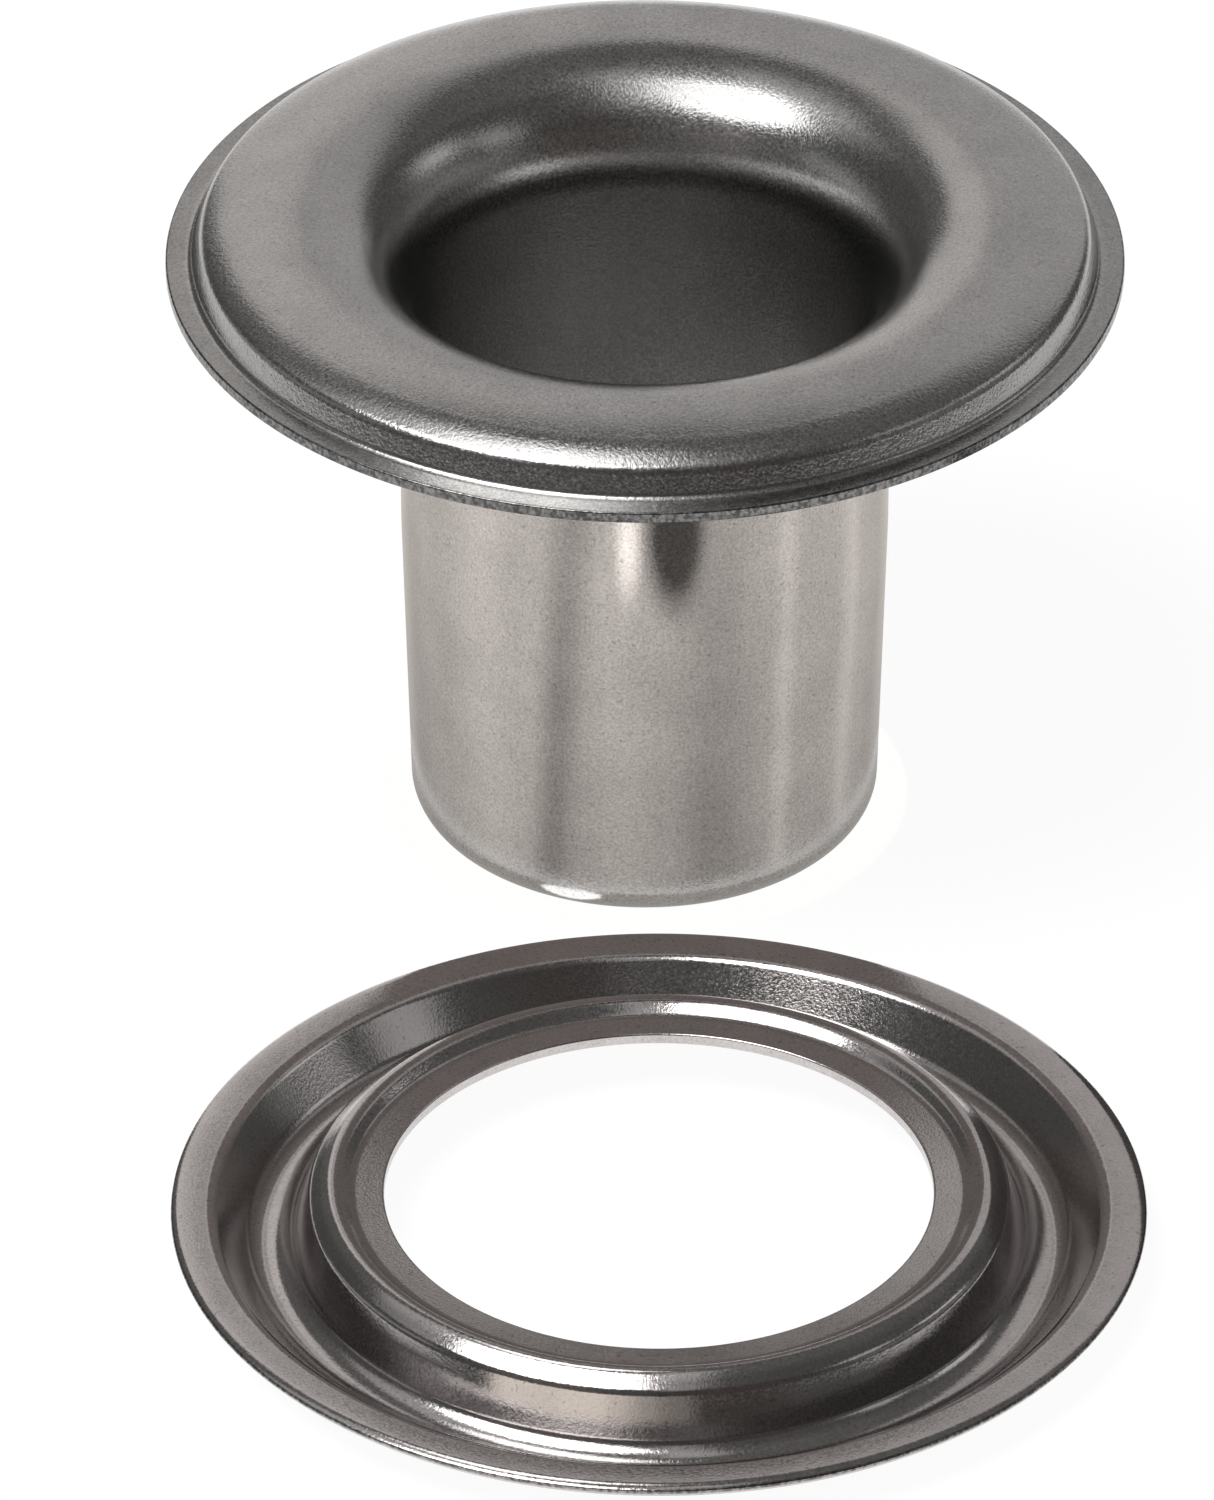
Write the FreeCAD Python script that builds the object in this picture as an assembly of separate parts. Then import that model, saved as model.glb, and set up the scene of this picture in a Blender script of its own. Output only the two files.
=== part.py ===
"""A grommet eyelet in thin stainless sheet: the deep flanged eyelet and its channelled washer.

Millimetres, +Z up. Both pieces rest on the plane Z = 0, as they do before they are set in cloth
or tarpaulin: the eyelet stands on the end of its barrel, flange up, and the washer lies in front
of it (towards -Y) with its channel upwards. The origin is the middle of the pair's footprint.

Each piece is one sheet pressed to shape. Its section is traced as a bent strip of even thickness,
straight runs joined by tangent bends, from the inside edge outwards, and turned about its axis.
"""

import FreeCAD, Part
import math
import os

sheet = 0.3
sheared_edge_round = 0.06

# The eyelet's barrel. Its upper part is straight. Below that it narrows a little towards its
# end, which is turned inwards to lead the barrel through the hole and over the setting die.
bore_radius = 5.85
seat_height = 15.76
taper_length = 7.2
taper_angle = 1.7
taper_blend_radius = 30.0
barrel_end_radius = 0.86
barrel_end_turn = 62.0

# The eyelet's flange, from the bore outwards: a large roll, a crowned face, a shoulder, a crisp
# edge, a riser and a flat rim, whose underside seats on the cloth. The face stands above the rim.
roll_radius = 2.9
face_rise = 1.15
face_width = 1.4
face_fall_angle = 9.0
shoulder_radius = 2.65
shoulder_fall_angle = 27.0
riser_edge_radius = 0.42
riser_angle = 70.0
riser_foot_radius = 0.22
rim_width = 0.48

# The washer, from its hole outwards: a flat ledge, a raised collar with a sloping rim, a channel, a
# flat lip and an edge that is pressed down where the blank was cut. Its heights count from where
# it lies.
washer_clearance = 0.59
ledge_width = 0.7
ledge_drop = 0.27
ledge_slope = 40.0
ledge_foot_radius = 0.3
collar_height = 2.08
collar_crest_radius = 0.36
collar_slope = 34.0
collar_slope_width = 0.34
collar_edge_radius = 0.36
collar_wall_angle = 69.5
collar_foot_radius = 0.38
channel_slope = 43.0
channel_floor_radius = 0.9
channel_outer_radius = 0.65
channel_wall_angle = 48.0
lip_height = 1.38
lip_shoulder_radius = 0.47
lip_width = 0.55
lip_edge_radius = 0.42
lip_edge_turn = 35.0

# How the two pieces lie: the free space between them, and how far the washer is to the right.
gap_between = 2.35
side_step = 0.32

half_sheet = sheet / 2
barrel_radius = bore_radius + sheet
axis = FreeCAD.Vector(0, 0, 1)


class Strip:
    """The section of a bent sheet, traced along the sheet's middle in the XZ plane.

    A heading is in degrees, 0 away from the axis and 90 up. The sheet's face is on the left of
    the heading and its back on the right. Each bend names the radius that the face gets.
    """

    def __init__(self, radius, height, heading):
        self.radius = radius
        self.height = height
        self.heading = heading
        self.start_edges = self.sheared_end(-1)
        self.face = []
        self.back = []

    def point(self, along, across):
        """The point this far ahead of the trace's tip and this far to its left."""
        turn = math.radians(self.heading)
        return FreeCAD.Vector(
            self.radius + along * math.cos(turn) - across * math.sin(turn),
            0,
            self.height + along * math.sin(turn) + across * math.cos(turn),
        )

    def sides(self):
        return self.point(0, half_sheet), self.point(0, -half_sheet)

    def move(self, distance, heading):
        self.radius += distance * math.cos(math.radians(heading))
        self.height += distance * math.sin(math.radians(heading))

    def sheared_end(self, way):
        """The cut edge of the sheet, ahead of the tip or behind it, with its corners rounded."""
        full = sheared_edge_round
        sideways = full * (1 - math.sqrt(0.5))
        forwards = full * math.sqrt(0.5)
        face_start, back_start = self.sides()
        face_corner = self.point(way * forwards, half_sheet - sideways)
        back_corner = self.point(way * forwards, sideways - half_sheet)
        face_end = self.point(way * full, half_sheet - full)
        back_end = self.point(way * full, full - half_sheet)
        return [
            Part.Arc(face_start, face_corner, face_end).toShape(),
            Part.LineSegment(face_end, back_end).toShape(),
            Part.Arc(back_end, back_corner, back_start).toShape(),
        ]

    def straight(self, length):
        face_start, back_start = self.sides()
        self.move(length, self.heading)
        face_end, back_end = self.sides()
        self.face.append(Part.LineSegment(face_start, face_end).toShape())
        self.back.append(Part.LineSegment(back_start, back_end).toShape())

    def bend(self, face_radius, angle):
        """Turn left by a positive angle, which hollows the face, or right by a negative one."""
        middle_radius = face_radius + math.copysign(half_sheet, angle)
        half_chord = 2 * middle_radius * math.sin(math.radians(abs(angle) / 4))
        face_start, back_start = self.sides()
        self.move(half_chord, self.heading + angle / 4)
        self.heading += angle / 2
        face_middle, back_middle = self.sides()
        self.move(half_chord, self.heading + angle / 4)
        self.heading += angle / 2
        face_end, back_end = self.sides()
        self.face.append(Part.Arc(face_start, face_middle, face_end).toShape())
        self.back.append(Part.Arc(back_start, back_middle, back_end).toShape())

    def straight_then_bend(self, height, face_radius, angle):
        """A straight run, as long as it takes for the bend after it to end at this height."""
        middle_radius = face_radius + math.copysign(half_sheet, angle)
        before = math.radians(self.heading)
        after = math.radians(self.heading + angle)
        in_bend = math.copysign(middle_radius, angle) * (math.cos(before) - math.cos(after))
        self.straight((height - self.height - in_bend) / math.sin(before))
        self.bend(face_radius, angle)

    def outline(self):
        edges = self.start_edges + self.face + self.sheared_end(1) + self.back
        return Part.Wire(Part.__sortEdges__(edges))


def turned(outline):
    """The outline as one solid ring about the Z axis."""
    ring = Part.Face(outline).revolve(FreeCAD.Vector(), axis, 360)
    return Part.Solid(ring) if ring.ShapeType == "Shell" else ring


def outermost(outline):
    return outline.optimalBoundingBox(False, False).XMax


def eyelet_outline():
    """From the turned-in end of the barrel, up its wall and out over the flange to the rim."""
    wall_heading = 90 - taper_angle
    strip = Strip(0, 0, wall_heading - barrel_end_turn)
    foot = min(edge.optimalBoundingBox(False, False).ZMin for edge in strip.start_edges)
    rim_middle = foot + seat_height + half_sheet
    strip.bend(barrel_end_radius - sheet, barrel_end_turn)
    strip.straight(taper_length)
    strip.bend(taper_blend_radius, taper_angle)
    wall_middle = strip.radius
    strip.straight_then_bend(rim_middle + face_rise, roll_radius, -90)
    crown_radius = face_width / math.sin(math.radians(face_fall_angle)) + half_sheet
    strip.bend(crown_radius, -face_fall_angle)
    strip.bend(shoulder_radius, face_fall_angle - shoulder_fall_angle)
    strip.bend(riser_edge_radius, shoulder_fall_angle - riser_angle)
    strip.straight_then_bend(rim_middle, riser_foot_radius, riser_angle)
    strip.straight(rim_width - sheared_edge_round)
    outline = strip.outline()
    outline.translate(FreeCAD.Vector(bore_radius + half_sheet - wall_middle, 0, -foot))
    return outline


def washer_outline():
    """From the hole, over the collar and through the channel to the lip and its edge."""
    hole_radius = barrel_radius + washer_clearance
    ledge_middle = collar_height - ledge_drop - half_sheet
    strip = Strip(hole_radius + sheared_edge_round, ledge_middle, 0)
    strip.straight(ledge_width - sheared_edge_round)
    strip.bend(ledge_foot_radius, ledge_slope)
    strip.straight_then_bend(collar_height - half_sheet, collar_crest_radius, -ledge_slope)
    strip.bend(collar_crest_radius, -collar_slope)
    strip.straight(collar_slope_width)
    strip.bend(collar_edge_radius, collar_slope - collar_wall_angle)
    slope_drop = (channel_floor_radius + half_sheet) * (1 - math.cos(math.radians(channel_slope)))
    strip.straight_then_bend(
        half_sheet + slope_drop, collar_foot_radius, collar_wall_angle - channel_slope
    )
    strip.bend(channel_floor_radius, channel_slope)
    strip.bend(channel_outer_radius, channel_wall_angle)
    strip.straight_then_bend(lip_height - half_sheet, lip_shoulder_radius, -channel_wall_angle)
    strip.straight(lip_width)
    strip.bend(lip_edge_radius, -lip_edge_turn)
    return strip.outline()


eyelet_section = eyelet_outline()
washer_section = washer_outline()
flange_radius = outermost(eyelet_section)
washer_radius = outermost(washer_section)

# The pair's footprint runs from the washer's front to the flange's back, and is centred.
between_axes = barrel_radius + gap_between + washer_radius
eyelet_back = (between_axes + washer_radius - flange_radius) / 2
eyelet_side = (flange_radius - washer_radius - side_step) / 2

eyelet = turned(eyelet_section)
eyelet.translate(FreeCAD.Vector(eyelet_side, eyelet_back, 0))
washer = turned(washer_section)
washer.translate(FreeCAD.Vector(eyelet_side + side_step, eyelet_back - between_axes, 0))

os.makedirs("parts", exist_ok=True)
eyelet.exportStep("parts/eyelet.step")
washer.exportStep("parts/washer.step")

print(f"flange radius {flange_radius:.3f}, washer radius {washer_radius:.3f}")
for name, piece in (("eyelet", eyelet), ("washer", washer)):
    box = piece.optimalBoundingBox(False, False)
    print(
        f"{name}: valid {piece.isValid()}, {piece.ShapeType}, {piece.Volume:.2f} mm3, "
        f"X {box.XMin:.3f} to {box.XMax:.3f}, Y {box.YMin:.3f} to {box.YMax:.3f}, "
        f"Z {box.ZMin:.3f} to {box.ZMax:.3f}, axis at {piece.CenterOfMass.x:.3f}, {piece.CenterOfMass.y:.3f}"
    )
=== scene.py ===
"""A deep grommet eyelet in satin stainless steel and the washer it is set with, on a white floor."""

import math

import bmesh
import bpy
from mathutils import Matrix, Vector


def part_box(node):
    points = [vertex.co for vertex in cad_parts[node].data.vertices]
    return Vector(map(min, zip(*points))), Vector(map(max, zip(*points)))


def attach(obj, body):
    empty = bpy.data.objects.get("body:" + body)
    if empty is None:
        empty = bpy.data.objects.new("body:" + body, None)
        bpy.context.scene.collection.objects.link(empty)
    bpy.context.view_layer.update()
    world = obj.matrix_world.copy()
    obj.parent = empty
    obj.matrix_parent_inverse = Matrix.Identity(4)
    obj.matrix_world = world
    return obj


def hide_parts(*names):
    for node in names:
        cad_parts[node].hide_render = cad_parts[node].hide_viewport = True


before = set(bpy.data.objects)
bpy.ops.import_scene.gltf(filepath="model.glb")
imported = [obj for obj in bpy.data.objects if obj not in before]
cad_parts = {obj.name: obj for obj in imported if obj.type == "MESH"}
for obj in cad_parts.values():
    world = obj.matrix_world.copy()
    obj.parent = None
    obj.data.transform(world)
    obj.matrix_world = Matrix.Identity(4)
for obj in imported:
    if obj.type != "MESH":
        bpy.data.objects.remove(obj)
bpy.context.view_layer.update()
mm = 0.001
scene = bpy.context.scene
scene.view_settings.view_transform = "Standard"

# The eyelet is a cup drawn from stainless sheet, with its bottom pierced out and its mouth pressed
# into a flange: a large roll, a crowned face, a shoulder, a riser and a flat rim, trimmed last.
# Its section is traced along the sheet's middle, turned about the axis and given its thickness.
sheet = 0.3 * mm
sheared_edge_round = 0.06 * mm
bore_radius = 5.85 * mm
taper_length = 7.2 * mm
taper_angle = 1.7
taper_blend_radius = 30.0 * mm
barrel_end_radius = 0.86 * mm
barrel_end_turn = 62.0
roll_radius = 2.9 * mm
face_rise = 1.15 * mm
face_width = 1.4 * mm
face_fall_angle = 9.0
shoulder_radius = 2.65 * mm
shoulder_fall_angle = 27.0
riser_edge_radius = 0.42 * mm
riser_angle = 70.0
riser_foot_radius = 0.22 * mm
rim_width = 0.48 * mm

bend_step = 5.0
turn_steps = 480


class Section:
    """A bent sheet seen from its edge: its middle line, traced in the XZ plane from the hole out.

    A heading is in degrees, 0 away from the axis and 90 up. The face of the sheet is on the left
    of the heading, and each bend names the radius that the face gets.
    """

    def __init__(self, heading):
        self.mesh = bmesh.new()
        self.tip = bmesh.ops.create_vert(self.mesh, co=(0, 0, 0))["vert"][0]
        self.heading = heading

    def straight(self, length):
        way = math.radians(self.heading)
        self.tip = bmesh.ops.extrude_vert_indiv(self.mesh, verts=[self.tip])["verts"][0]
        step = Vector((math.cos(way), 0, math.sin(way))) * length
        bmesh.ops.translate(self.mesh, verts=[self.tip], vec=step)

    def bend(self, face_radius, angle):
        """Turn left by a positive angle, which hollows the face, or right by a negative one."""
        side = math.copysign(1, angle)
        way = math.radians(self.heading)
        to_centre = Vector((-math.sin(way), 0, math.cos(way))) * side
        bent = bmesh.ops.spin(
            self.mesh,
            geom=[self.tip],
            cent=self.tip.co + to_centre * (face_radius + side * sheet / 2),
            axis=(0, -side, 0),
            angle=math.radians(abs(angle)),
            steps=max(2, round(abs(angle) / bend_step)),
        )
        self.tip = bent["geom_last"][0]
        self.heading += angle

    def straight_then_bend(self, rise, face_radius, angle):
        """A straight run, as long as it takes for the run and the bend to rise this much."""
        middle_radius = face_radius + math.copysign(sheet / 2, angle)
        before = math.radians(self.heading)
        after = math.radians(self.heading + angle)
        in_bend = math.copysign(middle_radius, angle) * (math.cos(before) - math.cos(after))
        self.straight((rise - in_bend) / math.sin(before))
        self.bend(face_radius, angle)

    def turned(self, name, node, wall, wall_radius, top):
        """The sheet as a closed ring in the node's place, from the traced wall and top heights."""
        low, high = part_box(node)
        placed = Vector((wall_radius - wall, 0, high.z - sheet / 2 - top))
        bmesh.ops.translate(self.mesh, verts=self.mesh.verts, vec=placed)
        bmesh.ops.spin(
            self.mesh,
            geom=self.mesh.verts[:] + self.mesh.edges[:],
            cent=(0, 0, 0),
            axis=(0, 0, 1),
            angle=math.tau,
            steps=turn_steps,
            use_merge=True,
        )
        axis_place = ((low.x + high.x) / 2, (low.y + high.y) / 2, 0)
        bmesh.ops.translate(self.mesh, verts=self.mesh.verts, vec=axis_place)
        bmesh.ops.recalc_face_normals(self.mesh, faces=self.mesh.faces)
        for face in self.mesh.faces:
            face.smooth = True
        shape = bpy.data.meshes.new(name)
        self.mesh.to_mesh(shape)
        self.mesh.free()
        ring = bpy.data.objects.new(name, shape)
        scene.collection.objects.link(ring)
        thickness = ring.modifiers.new("thickness", "SOLIDIFY")
        thickness.thickness = sheet
        thickness.offset = 0
        thickness.use_even_offset = True
        edges = ring.modifiers.new("sheared edges", "BEVEL")
        edges.limit_method = "ANGLE"
        edges.angle_limit = math.radians(50)
        edges.width = sheared_edge_round
        edges.segments = 3
        edges.harden_normals = True
        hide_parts(node)
        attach(ring, "root")
        return ring


class Pattern:
    """The arithmetic of one material's pattern, on sockets and plain numbers."""

    def __init__(self, paint):
        self.nodes = paint.node_tree.nodes
        self.links = paint.node_tree.links

    def math(self, operation, first, second=None, third=None):
        step = self.nodes.new("ShaderNodeMath")
        step.operation = operation
        for socket, value in zip(step.inputs, (first, second, third)):
            if isinstance(value, bpy.types.NodeSocket):
                self.links.new(value, socket)
            elif value is not None:
                socket.default_value = value
        return step.outputs["Value"]

    def noise(self, vector, scale, detail, rough=0.5):
        cloud = self.nodes.new("ShaderNodeTexNoise")
        cloud.inputs["Scale"].default_value = scale
        cloud.inputs["Detail"].default_value = detail
        cloud.inputs["Roughness"].default_value = rough
        self.links.new(vector, cloud.inputs["Vector"])
        return cloud.outputs["Fac"]

    def ramp(self, value, start, end, start_value, end_value):
        """A soft change from one value to the other between the start and the end."""
        step = self.nodes.new("ShaderNodeMapRange")
        step.interpolation_type = "SMOOTHSTEP"
        self.links.new(value, step.inputs["Value"])
        for socket, number in zip(step.inputs[1:5], (start, end, start_value, end_value)):
            socket.default_value = number
        return step.outputs["Result"]

    def swing(self, wave, share, tone):
        """The tone, moved up and down by a share of a wave round the wave's middle of one half."""
        return self.math("MULTIPLY_ADD", self.math("SUBTRACT", wave, 0.5), share, tone)


def satin_steel(ring, node, tint, gloss, speckle, bent, painted_shade_rings):
    """The steel of one ring, satin from the press and from tumbling, laid round the ring's axis.

    It has a fine speckled grain, faint blotches, pits, and short lines on the bends, where the
    sheet was drawn over the edge of a tool. The call says how rough it is at its smoothest, how
    strong its grain shows, between which radii its bends are lined and how deep, and in which
    rings painted shade darkens it, each from one radius to another, and what share of its
    brightness is left.
    """
    grain_size = 0.07 * mm
    grain_depth = 0.0055 * mm
    line_width = 0.08 * mm
    line_length = line_width / 0.6
    line_ring = 9 * mm
    lines_fade_in = 0.25 * mm
    lines_fade_out = 0.2 * mm
    blotch_size = 1.6 * mm
    pit_size = 0.11 * mm
    cut_shows_from = 0.07 * mm
    cut_full_from = 0.02 * mm
    flange_underside = 15.5 * mm
    soft_border = 0.1 * mm
    grain_roughness = 0.11

    paint = bpy.data.materials.new("satin_" + node)
    paint.use_nodes = True
    nodes = paint.node_tree.nodes
    links = paint.node_tree.links
    shader = nodes["Principled BSDF"]
    low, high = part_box(node)
    outer_radius = (high.x - low.x) / 2

    pattern = Pattern(paint)
    coords = nodes.new("ShaderNodeTexCoord")
    placed = nodes.new("ShaderNodeMapping")
    placed.inputs["Location"].default_value = (-(low.x + high.x) / 2, -(low.y + high.y) / 2, 0)
    links.new(coords.outputs["Object"], placed.inputs["Vector"])
    on_axis = placed.outputs["Vector"]
    parts = nodes.new("ShaderNodeSeparateXYZ")
    links.new(on_axis, parts.inputs["Vector"])
    height = parts.outputs["Z"]
    squared = pattern.math("MULTIPLY", parts.outputs["X"], parts.outputs["X"])
    squared = pattern.math("MULTIPLY_ADD", parts.outputs["Y"], parts.outputs["Y"], squared)
    radius = pattern.math("SQRT", squared)

    # The lines run along the section and keep one count round the axis. They have the named width
    # at the radius line_ring.
    around = nodes.new("ShaderNodeCombineXYZ")
    for way in ("X", "Y"):
        spread = pattern.math("MULTIPLY", parts.outputs[way], line_ring / line_width)
        links.new(pattern.math("DIVIDE", spread, radius), around.inputs[way])
    along = pattern.math("SUBTRACT", radius, height)
    links.new(pattern.math("MULTIPLY", along, 1 / line_length), around.inputs["Z"])
    lines = pattern.noise(around.outputs["Vector"], 1, 2)
    long_lines = nodes.new("ShaderNodeVectorMath")
    long_lines.operation = "MULTIPLY"
    long_lines.inputs[1].default_value = (0.5, 0.5, 0.01)
    links.new(around.outputs["Vector"], long_lines.inputs[0])
    drawn = pattern.noise(long_lines.outputs["Vector"], 1, 3)
    grain = pattern.noise(on_axis, 1 / grain_size, 2, 0.6)
    blotches = pattern.noise(on_axis, 1 / blotch_size, 3)
    pits = pattern.noise(on_axis, 1 / pit_size, 1)

    inner, outer, depth = bent
    from_inner = pattern.ramp(radius, inner - lines_fade_in, inner, 0, 1)
    to_outer = pattern.ramp(radius, outer, outer + lines_fade_out, 1, 0)
    on_bend = pattern.math("MULTIPLY", from_inner, to_outer)
    relief = nodes.new("ShaderNodeBump")
    relief.inputs["Distance"].default_value = grain_depth * speckle
    relief.inputs["Strength"].default_value = 1
    bend_lines = pattern.math("MULTIPLY", lines, on_bend)
    raised = pattern.math("MULTIPLY_ADD", bend_lines, depth, grain)
    links.new(raised, relief.inputs["Height"])
    links.new(relief.outputs["Normal"], shader.inputs["Normal"])

    drawn_share = pattern.ramp(height, flange_underside - mm, flange_underside, 0.1, 0.02)
    tone = pattern.swing(drawn, drawn_share, 1)
    tone = pattern.swing(grain, speckle, tone)
    tone = pattern.math("MULTIPLY", tone, pattern.ramp(blotches, 0.3, 0.7, 0.95, 1.05))
    tone = pattern.math("MULTIPLY", tone, pattern.ramp(pits, 0.66, 0.74, 1, 0.72))
    # Painted shade: in each ring between two radii the tone is darkened to the given share of its
    # brightness.
    for start, end, share in painted_shade_rings:
        after_start = pattern.ramp(radius, start - soft_border, start + soft_border, 0, 1)
        before_end = pattern.ramp(radius, end - soft_border, end + soft_border, 1, 0)
        inside = pattern.math("MULTIPLY", after_start, before_end)
        painted_shade = pattern.math("MULTIPLY_ADD", inside, share - 1, 1)
        tone = pattern.math("MULTIPLY", tone, painted_shade)
    cut_start = outer_radius - cut_shows_from
    cut = pattern.ramp(radius, cut_start, outer_radius - cut_full_from, 0, 1)
    torn = pattern.ramp(lines, 0.35, 0.65, 0.22, 0.6)
    torn_edge = pattern.math("MULTIPLY_ADD", pattern.math("SUBTRACT", torn, 1), cut, 1)
    tone = pattern.math("MULTIPLY", tone, torn_edge)
    colour = nodes.new("ShaderNodeMix")
    colour.data_type = "RGBA"
    colour.blend_type = "MULTIPLY"
    colour.inputs["Factor"].default_value = 1
    colour.inputs["A"].default_value = (*tint, 1)
    links.new(tone, colour.inputs["B"])
    links.new(colour.outputs["Result"], shader.inputs["Base Color"])
    shader.inputs["Metallic"].default_value = 1
    roughness = pattern.ramp(grain, 0.25, 0.75, gloss, gloss + grain_roughness)
    links.new(roughness, shader.inputs["Roughness"])
    ring.data.materials.append(paint)


cup = Section(90 - taper_angle - barrel_end_turn)
cup.straight(sheared_edge_round)
cup.bend(barrel_end_radius - sheet, barrel_end_turn)
cup.straight(taper_length)
cup.bend(taper_blend_radius, taper_angle)
wall = cup.tip.co.x
rim_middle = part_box("eyelet")[1].z - sheet / 2 - face_rise
straight_start = cup.tip.co.z
end_heading = math.radians(90 - taper_angle - barrel_end_turn)
barrel_foot = min(vert.co.z for vert in cup.mesh.verts) - sheet / 2 * math.cos(end_heading)
cup.straight_then_bend(rim_middle + face_rise - (straight_start - barrel_foot), roll_radius, -90)
crown = cup.tip.co.z
cup.bend(face_width / math.sin(math.radians(face_fall_angle)) + sheet / 2, -face_fall_angle)
cup.bend(shoulder_radius, face_fall_angle - shoulder_fall_angle)
cup.bend(riser_edge_radius, shoulder_fall_angle - riser_angle)
cup.straight_then_bend(crown - face_rise - cup.tip.co.z, riser_foot_radius, riser_angle)
cup.straight(rim_width)
eyelet = cup.turned("pressed_eyelet", "eyelet", wall, bore_radius + sheet / 2, crown)

# Rings of painted shade on the eyelet: in the roll's throat, at the riser and on the rim, the steel
# is darkened to the share given last.
roll_throat_shade = (6.35 * mm, 7.1 * mm, 0.78)
riser_shade = (11.02 * mm, 11.4 * mm, 0.75)
rim_shade = (11.5 * mm, 12.3 * mm, 0.84)
satin_steel(
    eyelet,
    "eyelet",
    tint=(0.5, 0.492, 0.485),
    gloss=0.16,
    speckle=1.0,
    bent=(10.3 * mm, 11.2 * mm, 1.2),
    painted_shade_rings=(roll_throat_shade, riser_shade, rim_shade),
)

# The washer is pressed from the same sheet and pierced: a flat ledge round the hole, a raised
# collar, a deep channel, a flat lip and an edge pressed down where the blank was cut. It is traced
# and turned like the eyelet, and its steel is glossier.
washer_clearance = 0.59 * mm
washer_hole_radius = bore_radius + sheet + washer_clearance
ledge_width = 0.7 * mm
ledge_drop = 0.27 * mm
ledge_slope = 40.0
ledge_foot_radius = 0.3 * mm
collar_crest_radius = 0.36 * mm
collar_slope = 34.0
collar_slope_width = 0.34 * mm
collar_edge_radius = 0.36 * mm
collar_wall_angle = 69.5
collar_foot_radius = 0.38 * mm
channel_slope = 43.0
channel_floor_radius = 0.9 * mm
channel_outer_radius = 0.65 * mm
channel_wall_angle = 48.0
lip_height = 1.38 * mm
lip_shoulder_radius = 0.47 * mm
lip_width = 0.55 * mm
lip_edge_radius = 0.42 * mm
lip_edge_turn = 35.0

plate = Section(0)
plate.straight(ledge_width)
plate.bend(ledge_foot_radius, ledge_slope)
plate.straight_then_bend(ledge_drop - plate.tip.co.z, collar_crest_radius, -ledge_slope)
collar = plate.tip.co.z
plate.bend(collar_crest_radius, -collar_slope)
plate.straight(collar_slope_width)
plate.bend(collar_edge_radius, collar_slope - collar_wall_angle)
collar_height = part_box("washer")[1].z
channel = collar - collar_height + sheet
slope_drop = (channel_floor_radius + sheet / 2) * (1 - math.cos(math.radians(channel_slope)))
slope_top = channel + slope_drop
foot_turn = collar_wall_angle - channel_slope
plate.straight_then_bend(slope_top - plate.tip.co.z, collar_foot_radius, foot_turn)
plate.bend(channel_floor_radius, channel_slope)
plate.bend(channel_outer_radius, channel_wall_angle)
lip = channel + lip_height - sheet
plate.straight_then_bend(lip - plate.tip.co.z, lip_shoulder_radius, -channel_wall_angle)
plate.straight(lip_width)
plate.bend(lip_edge_radius, -lip_edge_turn)
plate.straight(sheared_edge_round)
washer = plate.turned("pressed_washer", "washer", 0, washer_hole_radius, collar)

# Rings of painted shade on the washer: inside the collar, on the collar's wall and on the channel's
# wall, the steel is darkened to the share given last.
collar_inside_shade = (7.45 * mm, 7.95 * mm, 0.8)
collar_wall_shade = (8.3 * mm, 9.2 * mm, 0.7)
channel_wall_shade = (9.9 * mm, 10.9 * mm, 0.62)
satin_steel(
    washer,
    "washer",
    tint=(0.58, 0.548, 0.54),
    gloss=0.08,
    speckle=0.55,
    bent=(7.3 * mm, 11.6 * mm, 0.15),
    painted_shade_rings=(collar_inside_shade, collar_wall_shade, channel_wall_shade),
)

# The floor is a white sheet of paper, lit from below. Inside the barrel it lies in shade, which
# is deeper on the right.
floor_radius = 3.0
floor_grey = 0.16
floor_brightness = 0.92
shade_left = -3.5 * mm
shade_left_brightness = 0.5
shade_right = 0.5 * mm
shade_right_brightness = 0.18
shade_full_within = bore_radius - 0.6 * mm
shade_ends_at = bore_radius - 0.4 * mm
ground = bmesh.new()
bmesh.ops.create_circle(ground, cap_ends=True, segments=64, radius=floor_radius)
floor_mesh = bpy.data.meshes.new("floor")
ground.to_mesh(floor_mesh)
ground.free()
floor = bpy.data.objects.new("floor", floor_mesh)
scene.collection.objects.link(floor)
white = bpy.data.materials.new("floor_white")
white.use_nodes = True
white_nodes = white.node_tree.nodes
white_links = white.node_tree.links
paper = white_nodes["Principled BSDF"]
paper.inputs["Base Color"].default_value = (floor_grey, floor_grey, floor_grey, 1)
paper.inputs["Specular IOR Level"].default_value = 0
paper.inputs["Emission Color"].default_value = (1, 1, 1, 1)
eyelet_low, eyelet_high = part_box("eyelet")
eyelet_axis = (eyelet_low + eyelet_high) / 2
floor_place = white_nodes.new("ShaderNodeTexCoord")
across_floor = white_nodes.new("ShaderNodeSeparateXYZ")
white_links.new(floor_place.outputs["Object"], across_floor.inputs["Vector"])
deep_shade = white_nodes.new("ShaderNodeMapRange")
deep_shade.inputs["From Min"].default_value = shade_left
deep_shade.inputs["From Max"].default_value = shade_right
deep_shade.inputs["To Min"].default_value = shade_left_brightness
deep_shade.inputs["To Max"].default_value = shade_right_brightness
white_links.new(across_floor.outputs["X"], deep_shade.inputs["Value"])
from_axis = white_nodes.new("ShaderNodeVectorMath")
from_axis.operation = "DISTANCE"
from_axis.inputs[1].default_value = (eyelet_axis.x, eyelet_axis.y, 0)
white_links.new(floor_place.outputs["Object"], from_axis.inputs[0])
shade = white_nodes.new("ShaderNodeMapRange")
shade.inputs["From Min"].default_value = shade_full_within
shade.inputs["From Max"].default_value = shade_ends_at
shade.inputs["To Max"].default_value = floor_brightness
white_links.new(from_axis.outputs["Value"], shade.inputs["Value"])
white_links.new(deep_shade.outputs["Result"], shade.inputs["To Min"])
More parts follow.
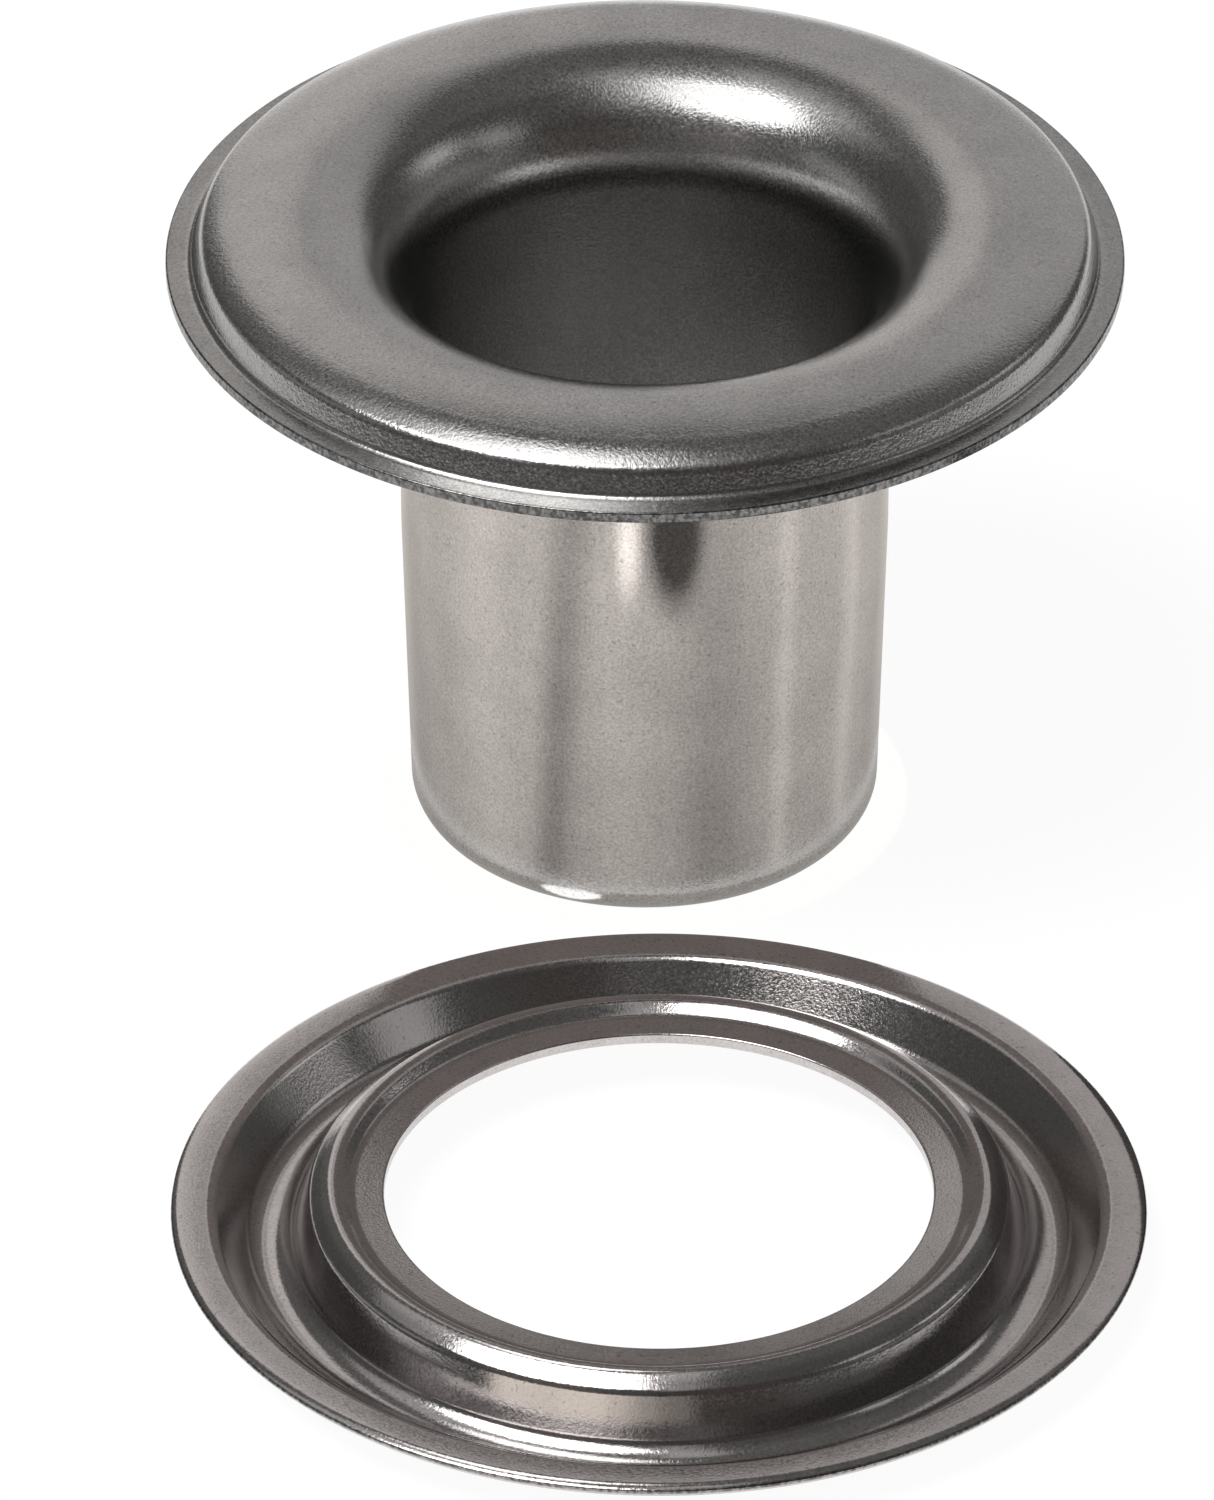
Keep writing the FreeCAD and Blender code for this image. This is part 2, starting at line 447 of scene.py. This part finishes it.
white_links.new(shade.outputs["Result"], paper.inputs["Emission Strength"])
floor_mesh.materials.append(white)

# The studio is a grey tent with a round lamp, a pale wall behind and two windows to the right.
# A place in it is given by how far up it is from the horizon behind the object, over the top, and
# how far it is to the right.
tent_radius = 1.0
card_distance = 0.9
target = Vector((0, 0, 8 * mm))


def towards(up, side, distance):
    """Where a thing stands in the tent at these angles, with its back to the tent's wall."""
    up, side = math.radians(up), math.radians(side)
    way = Vector((math.sin(side), math.cos(side) * math.cos(up), math.cos(side) * math.sin(up)))
    over = Vector((0, -math.sin(up), math.cos(up)))
    turn = Matrix((over.cross(way), over, way)).transposed()
    return Matrix.Translation(target + way * distance) @ turn.to_4x4()


def glow(name, colour, strength):
    """A paint that only glows."""
    paint = bpy.data.materials.new(name)
    paint.use_nodes = True
    nodes = paint.node_tree.nodes
    nodes.clear()
    light = nodes.new("ShaderNodeEmission")
    light.inputs["Color"].default_value = (*colour, 1)
    light.inputs["Strength"].default_value = strength
    output = nodes.new("ShaderNodeOutputMaterial")
    paint.node_tree.links.new(light.outputs["Emission"], output.inputs["Surface"])
    return paint


def staged(name, shape, paint):
    """The finished shape as a thing of the studio that the camera doesn't see."""
    mesh = bpy.data.meshes.new(name)
    shape.to_mesh(mesh)
    shape.free()
    mesh.materials.append(paint)
    thing = bpy.data.objects.new(name, mesh)
    scene.collection.objects.link(thing)
    thing.visible_camera = False
    return thing


def card(name, up, side, tall, wide, colour, strength):
    """A glowing card, with its middle at these angles and so many degrees tall and wide."""
    shape = bmesh.new()
    half_wide = math.tan(math.radians(wide / 2)) * card_distance
    half_tall = math.tan(math.radians(tall / 2)) * card_distance
    bmesh.ops.create_grid(shape, x_segments=1, y_segments=1, size=1)
    bmesh.ops.scale(shape, verts=shape.verts, vec=(half_wide, half_tall, 1))
    paint = glow(name, colour, strength)
    staged(name, shape, paint).matrix_world = towards(up, side, card_distance)


card("back_wall_left", 23, -12, 47, 20, (1, 0.965, 0.945), 0.68)
card("back_wall_right", 25, 15.5, 52, 35, (1, 0.975, 0.965), 0.48)
card("low_window", 68, 55, 18, 10, (1, 1, 1), 1.0)
card("high_window", 110, 49, 18, 12, (1, 1, 1), 0.7)
card("warm_corner", 144, -32, 34, 28, (1, 0.93, 0.9), 0.18)
card("lamp_skirt", 75, -28, 20, 36, (1, 1, 1), 0.42)
card("lamp_edge", 104, 4, 42, 8, (1, 1, 1), 0.5)
card("brown_front", 150, 22, 60, 66, (1, 0.9, 0.84), 0.095)
card("left_glow", 60, -72, 120, 12, (1, 1, 1), 0.38)
card("right_glow", 90, 72, 150, 12, (1, 1, 1), 0.25)

dome = bmesh.new()
bmesh.ops.create_uvsphere(dome, u_segments=64, v_segments=32, radius=tent_radius)
tent_paint = glow("tent", (1, 0.99, 0.98), 0.125)
tent_paint.cycles.emission_sampling = "NONE"
staged("tent", dome, tent_paint)

# Round the barrel is a sleeve of white paper, which the steel alone sees. It has soft upright
# stripes and two small spots near its top, and its back is dull. A stripe is its middle and reach
# in degrees round the barrel, its lean in degrees per mm of height, and its change of brightness.
sleeve_radius = 6.9 * mm
sleeve_paper = 0.05 * mm
sleeve_height = 15.4 * mm
sleeve_lift = 0.05 * mm
foot_brightness = 0.6
brighter_per_mm = 0.023
least_brightness = 0.1
stripes = (
    (-88, 14, 0, -0.12),
    (-47, 20, 0, 0.2),
    (-31, 7, 0, 0.08),
    (-28, 9, 0.8, -0.26),
    (-8, 11, 0, 0.1),
    (19, 17, 0, -0.2),
    (40, 5, 0, 0.24),
    (67, 7, 0, 0.26),
    (88, 12, 0, -0.12),
)

# A spot is its middle and reach in degrees, its height and reach in mm, and its change.
bright_spot = (-4.5, 4.8, 10.9, 2.5, 1.3)
dark_spot = (7.5, 11, 11.2, 3.2, -1.3)

sleeve_paint = glow("sleeve", (1, 0.935, 0.88), 1)
striped = Pattern(sleeve_paint)


def seen_in_steel_only(thing):
    """Let the thing light no paper and throw no shadow."""
    thing.visible_diffuse = False
    thing.visible_shadow = False


def tube(name, radius, paint):
    """An open paper tube round the barrel, which only the steel sees."""
    shape = bmesh.new()
    bmesh.ops.create_cone(shape, segments=128, radius1=radius, radius2=radius, depth=sleeve_height)
    bmesh.ops.translate(shape, verts=shape.verts, vec=(0, 0, sleeve_height / 2 + sleeve_lift))
    wrap = staged(name, shape, paint)
    wrap.location = (eyelet_axis.x, eyelet_axis.y, 0)
    seen_in_steel_only(wrap)
    paint.cycles.emission_sampling = "NONE"


sleeve_place = striped.nodes.new("ShaderNodeSeparateXYZ")
sleeve_coords = striped.nodes.new("ShaderNodeTexCoord")
striped.links.new(sleeve_coords.outputs["Object"], sleeve_place.inputs["Vector"])
backwards = striped.math("MULTIPLY", sleeve_place.outputs["Y"], -1)
azimuth = striped.math("DEGREES", striped.math("ARCTAN2", sleeve_place.outputs["X"], backwards))
level = striped.math("DIVIDE", sleeve_place.outputs["Z"], mm)
strength = striped.math("MULTIPLY_ADD", level, brighter_per_mm, foot_brightness)
for middle, reach, lean, change in stripes:
    leaning = striped.math("MULTIPLY_ADD", level, lean, middle)
    offset = striped.math("DIVIDE", striped.math("SUBTRACT", azimuth, leaning), reach)
    stripe = striped.ramp(striped.math("ABSOLUTE", offset), 0, 1, 1, 0)
    strength = striped.math("MULTIPLY_ADD", stripe, change, strength)
for middle, reach, spot_level, tall, change in (bright_spot, dark_spot):
    sideways = striped.math("DIVIDE", striped.math("SUBTRACT", azimuth, middle), reach)
    upright = striped.math("DIVIDE", striped.math("SUBTRACT", level, spot_level), tall)
    squared = striped.math("MULTIPLY", sideways, sideways)
    squared = striped.math("MULTIPLY_ADD", upright, upright, squared)
    blur = striped.ramp(striped.math("SQRT", squared), 0, 1, 1, 0)
    strength = striped.math("MULTIPLY_ADD", blur, change, strength)
sleeve_light = striped.nodes["Emission"]
strength = striped.math("MAXIMUM", strength, least_brightness)
striped.links.new(strength, sleeve_light.inputs["Strength"])
tube("sleeve", sleeve_radius, sleeve_paint)
tube("sleeve_back", sleeve_radius + sleeve_paper, glow("sleeve_back", (1, 0.9, 0.86), 0.19))

# On the floor round the barrel's foot lies a ring of shade, and before the foot a small glint.
shade_inside = 5.4 * mm
shade_outside = 6.7 * mm
shade_lift = 0.01 * mm
glint_radius = 6.15 * mm
glint_turn = -20
glint_half_wide = 0.9 * mm
glint_half_deep = 0.42 * mm
glint_lift = 0.03 * mm
apron = bmesh.new()
bmesh.ops.create_circle(apron, segments=128, radius=shade_inside)
spread = bmesh.ops.extrude_edge_only(apron, edges=apron.edges[:])["geom"]
outside = [part for part in spread if isinstance(part, bmesh.types.BMVert)]
wider = shade_outside / shade_inside
bmesh.ops.scale(apron, verts=outside, vec=(wider, wider, 1))
foot_shade = staged("foot_shade", apron, glow("foot_shade", (1, 0.95, 0.9), 0.5))
foot_shade.location = (eyelet_axis.x, eyelet_axis.y, shade_lift)

spot = bmesh.new()
bmesh.ops.create_circle(spot, cap_ends=True, segments=32, radius=1)
bmesh.ops.scale(spot, verts=spot.verts, vec=(glint_half_wide, glint_half_deep, 1))
glint = staged("foot_glint", spot, glow("foot_glint", (1, 1, 1), 2))
glint_way = Matrix.Rotation(math.radians(glint_turn), 4, "Z")
glint.matrix_world = Matrix.Translation((eyelet_axis.x, eyelet_axis.y, glint_lift)) @ glint_way
glint.matrix_world @= Matrix.Translation((0, -glint_radius, 0))

# Close over the pair hangs a weak disc, which the washer sees beside the lamp. Low screens stand
# round the washer: tan ones before it, and a dark one behind it on the right. Only the steel's
# reflections see them.
low_disc_radius = 11.5 * mm
low_disc_place = (-12 * mm, 4 * mm, 60 * mm)
disc = bmesh.new()
bmesh.ops.create_circle(disc, cap_ends=True, segments=48, radius=low_disc_radius)
low_disc = staged("low_disc", disc, glow("low_disc", (1, 1, 1), 2.4))
low_disc.location = low_disc_place
seen_in_steel_only(low_disc)

screen_lift = 0.2 * mm
tan = (1, 0.93, 0.84)
dull_tan = (1, 0.93, 0.86)
pale_brown = (1, 0.95, 0.92)
for name, middle, wide, tall, turn, colour, brightness in (
    ("tan_screen", (-34, -60), 44, 12, 0, tan, 1.5),
    ("half_tan_screen", (-9, -60), 6, 12, 0, tan, 1.15),
    ("dull_tan_screen", (-3, -60), 6, 12, 0, dull_tan, 0.7),
    ("faint_tan_screen", (4, -60), 8, 12, 0, dull_tan, 0.4),
    ("dark_screen", (18, 2), 14, 9, -35, pale_brown, 0.07),
):
    screen = bmesh.new()
    bmesh.ops.create_grid(screen, x_segments=1, y_segments=1, size=0.5)
    bmesh.ops.scale(screen, verts=screen.verts, vec=(wide * mm, tall * mm, 1))
    upright_turn = Matrix.Rotation(math.radians(90), 3, "X")
    bmesh.ops.rotate(screen, verts=screen.verts, matrix=upright_turn)
    side_turn = Matrix.Rotation(math.radians(turn), 3, "Z")
    bmesh.ops.rotate(screen, verts=screen.verts, matrix=side_turn)
    stood = staged(name, screen, glow(name, colour, brightness))
    stood.location = (middle[0] * mm, middle[1] * mm, tall / 2 * mm + screen_lift)
    seen_in_steel_only(stood)

# The lamp is an ellipse of light, wider than it is tall. Its right end is turned to the front.
lamp_brightness = 7
lamp_up = 105
lamp_side = -21.5
lamp_distance = 0.6
lamp_half_wide = 19
lamp_half_tall = 14.5
lamp_turn = -20
lamp_data = bpy.data.lights.new("round_lamp", "AREA")
lamp_data.shape = "ELLIPSE"
lamp_data.size = 2 * lamp_distance * math.tan(math.radians(lamp_half_wide))
lamp_data.size_y = 2 * lamp_distance * math.tan(math.radians(lamp_half_tall))
lamp_area = math.pi * lamp_data.size * lamp_data.size_y / 4
lamp_data.energy = lamp_brightness * math.pi * lamp_area
lamp = bpy.data.objects.new("round_lamp", lamp_data)
turned_lamp = Matrix.Rotation(math.radians(lamp_turn), 4, "Z")
lamp.matrix_world = towards(lamp_up, lamp_side, lamp_distance) @ turned_lamp
lamp.visible_camera = False
scene.collection.objects.link(lamp)

# Beyond the floor's edge everything is white.
scene.world = bpy.data.worlds.new("studio")
scene.world.use_nodes = True
scene.world.node_tree.nodes["Background"].inputs["Color"].default_value = (1, 1, 1, 1)

# The camera stands in front, a little above, with a long lens.
look_down = 33.46
camera_data = bpy.data.cameras.new("camera")
camera_data.lens = 458.2
camera = bpy.data.objects.new("camera", camera_data)
camera.location = (-1.1 * mm, -395.1 * mm, 269.06 * mm)
camera.rotation_euler = (math.radians(90 - look_down), 0, 0)
scene.collection.objects.link(camera)
scene.camera = camera
